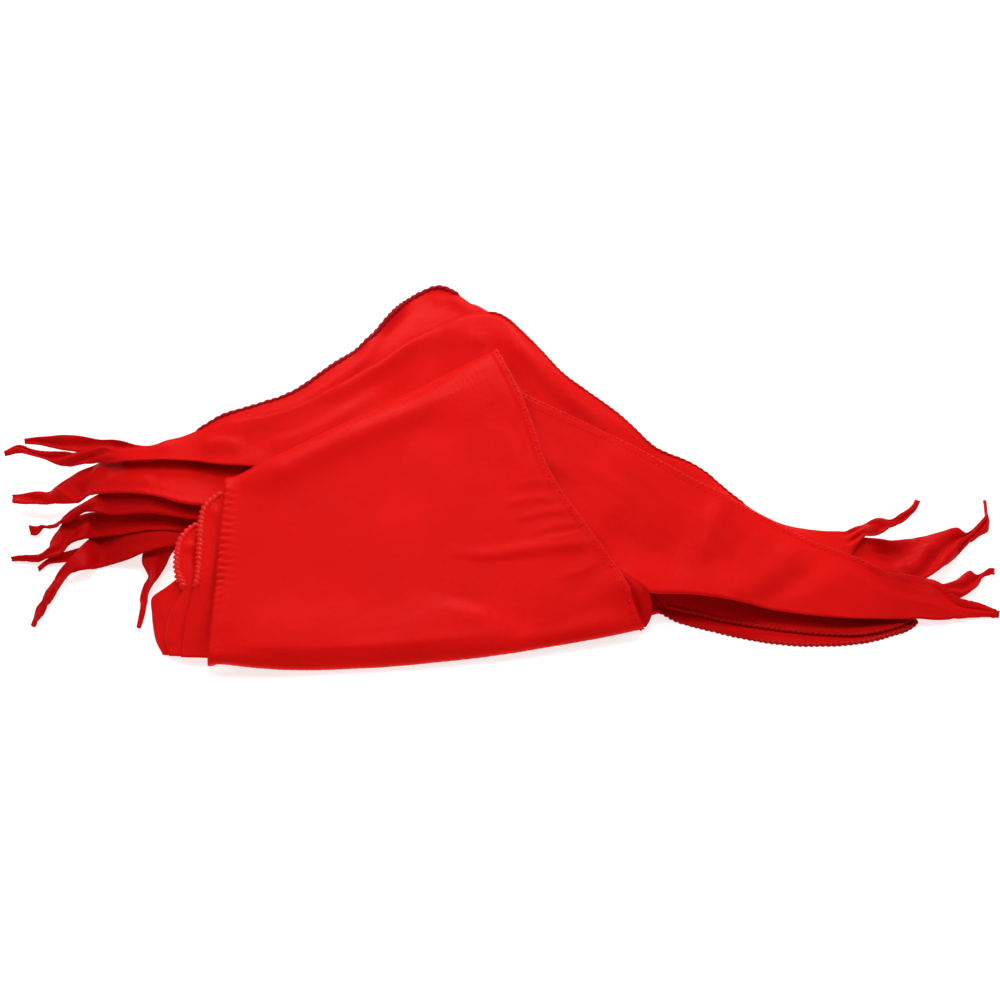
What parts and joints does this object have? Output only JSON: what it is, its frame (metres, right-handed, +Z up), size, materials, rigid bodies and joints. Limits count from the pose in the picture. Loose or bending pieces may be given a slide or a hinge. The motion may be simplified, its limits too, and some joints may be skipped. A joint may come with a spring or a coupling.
{
  "type": "folded bundle of triangle scarves",
  "caption": "Low heap of red triangle scarves, stacked and folded together, with a folded pack in front and twisted tails at both sides.",
  "frame": {"origin": "middle of the heap's footprint on the table", "axes": "+Z up from the table, +X along the heap from the bunched tails at the left to the long flat tail at the right, +Y from the front pack to the back of the heap"},
  "size_m": [0.5993, 0.325, 0.0843],
  "materials": {
    "scarf_cloth": "smooth woven polyester with a soft satin sheen"
  },
  "bodies": {
    "root": {"front_panel": "scarf_cloth", "pack_leaf_0": "scarf_cloth", "pack_leaf_1": "scarf_cloth", "pack_leaf_2": "scarf_cloth", "pack_right_leaf": "scarf_cloth", "pack_core": "scarf_cloth", "right_top_sheet": "scarf_cloth", "right_under_sheet_1": "scarf_cloth", "right_under_sheet_2": "scarf_cloth", "right_back_sheet_1": "scarf_cloth", "right_back_sheet_2": "scarf_cloth", "back_sheet_1": "scarf_cloth", "back_sheet_2": "scarf_cloth", "back_drop_sheet": "scarf_cloth", "left_sheet_2": "scarf_cloth", "left_sheet_3": "scarf_cloth", "left_sheet_4": "scarf_cloth", "left_sheet_5": "scarf_cloth", "left_sheet_6": "scarf_cloth", "left_hanging_sheet": "scarf_cloth", "folded_core": "scarf_cloth"}
  },
  "joints": []
}
